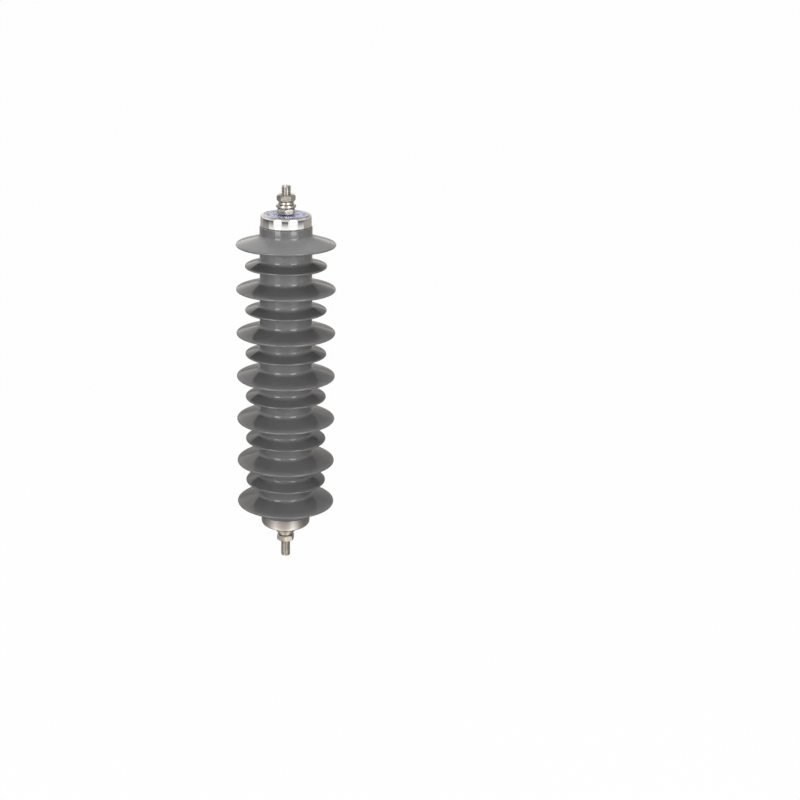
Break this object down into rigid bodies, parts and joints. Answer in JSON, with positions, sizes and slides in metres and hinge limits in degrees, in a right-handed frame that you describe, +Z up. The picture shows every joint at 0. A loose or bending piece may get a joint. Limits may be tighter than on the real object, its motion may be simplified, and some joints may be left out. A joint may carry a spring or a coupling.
{
  "type": "distribution surge arrester",
  "caption": "Upright polymer-housed surge arrester with alternating large and small rubber sheds, metal end caps and a threaded stud with nuts at each end.",
  "frame": {"origin": "on the body's axis, in the plane of the sunk lower end face of the earth cap, from which the body height is measured", "axes": "+Z up along the axis, from the earth end to the line end; a flat of the line terminal nut faces -Y"},
  "size_m": [0.101, 0.101, 0.3996],
  "materials": {
    "housing_rubber": "satin moulded grey silicone rubber",
    "tube_resin": "wound glass fibre in resin",
    "electrode_metal": "turned",
    "block_ceramic": "sintered zinc oxide",
    "spring_metal": "spring steel",
    "gasket_rubber": "moulded sealing ring",
    "cap_metal": "polished stainless steel",
    "plate_print": "enamelled plate without lettering",
    "fastener_metal": "bright stainless steel"
  },
  "bodies": {
    "root": {"shed_housing": "housing_rubber", "glass_fibre_tube": "tube_resin", "line_electrode": "electrode_metal", "earth_electrode": "electrode_metal", "upper_contact_plate": "electrode_metal", "lower_contact_plate": "electrode_metal", "zinc_oxide_block_01": "block_ceramic", "zinc_oxide_block_02": "block_ceramic", "zinc_oxide_block_03": "block_ceramic", "zinc_oxide_block_04": "block_ceramic", "zinc_oxide_block_05": "block_ceramic", "zinc_oxide_block_06": "block_ceramic", "zinc_oxide_block_07": "block_ceramic", "zinc_oxide_block_08": "block_ceramic", "zinc_oxide_block_09": "block_ceramic", "zinc_oxide_block_10": "block_ceramic", "zinc_oxide_block_11": "block_ceramic", "disc_spring_1": "spring_metal", "disc_spring_2": "spring_metal", "disc_spring_3": "spring_metal", "disc_spring_4": "spring_metal", "line_gasket": "gasket_rubber", "earth_gasket": "gasket_rubber", "line_cap": "cap_metal", "earth_cap": "cap_metal", "blank_plate_ring": "plate_print", "line_stud": "fastener_metal", "line_lock_nut": "fastener_metal", "line_flat_washer": "fastener_metal", "line_spring_washer": "fastener_metal", "line_terminal_nut": "fastener_metal", "earth_stud": "fastener_metal", "earth_lock_nut": "fastener_metal", "earth_flat_washer": "fastener_metal", "earth_spring_washer": "fastener_metal", "earth_terminal_nut": "fastener_metal"}
  },
  "joints": []
}
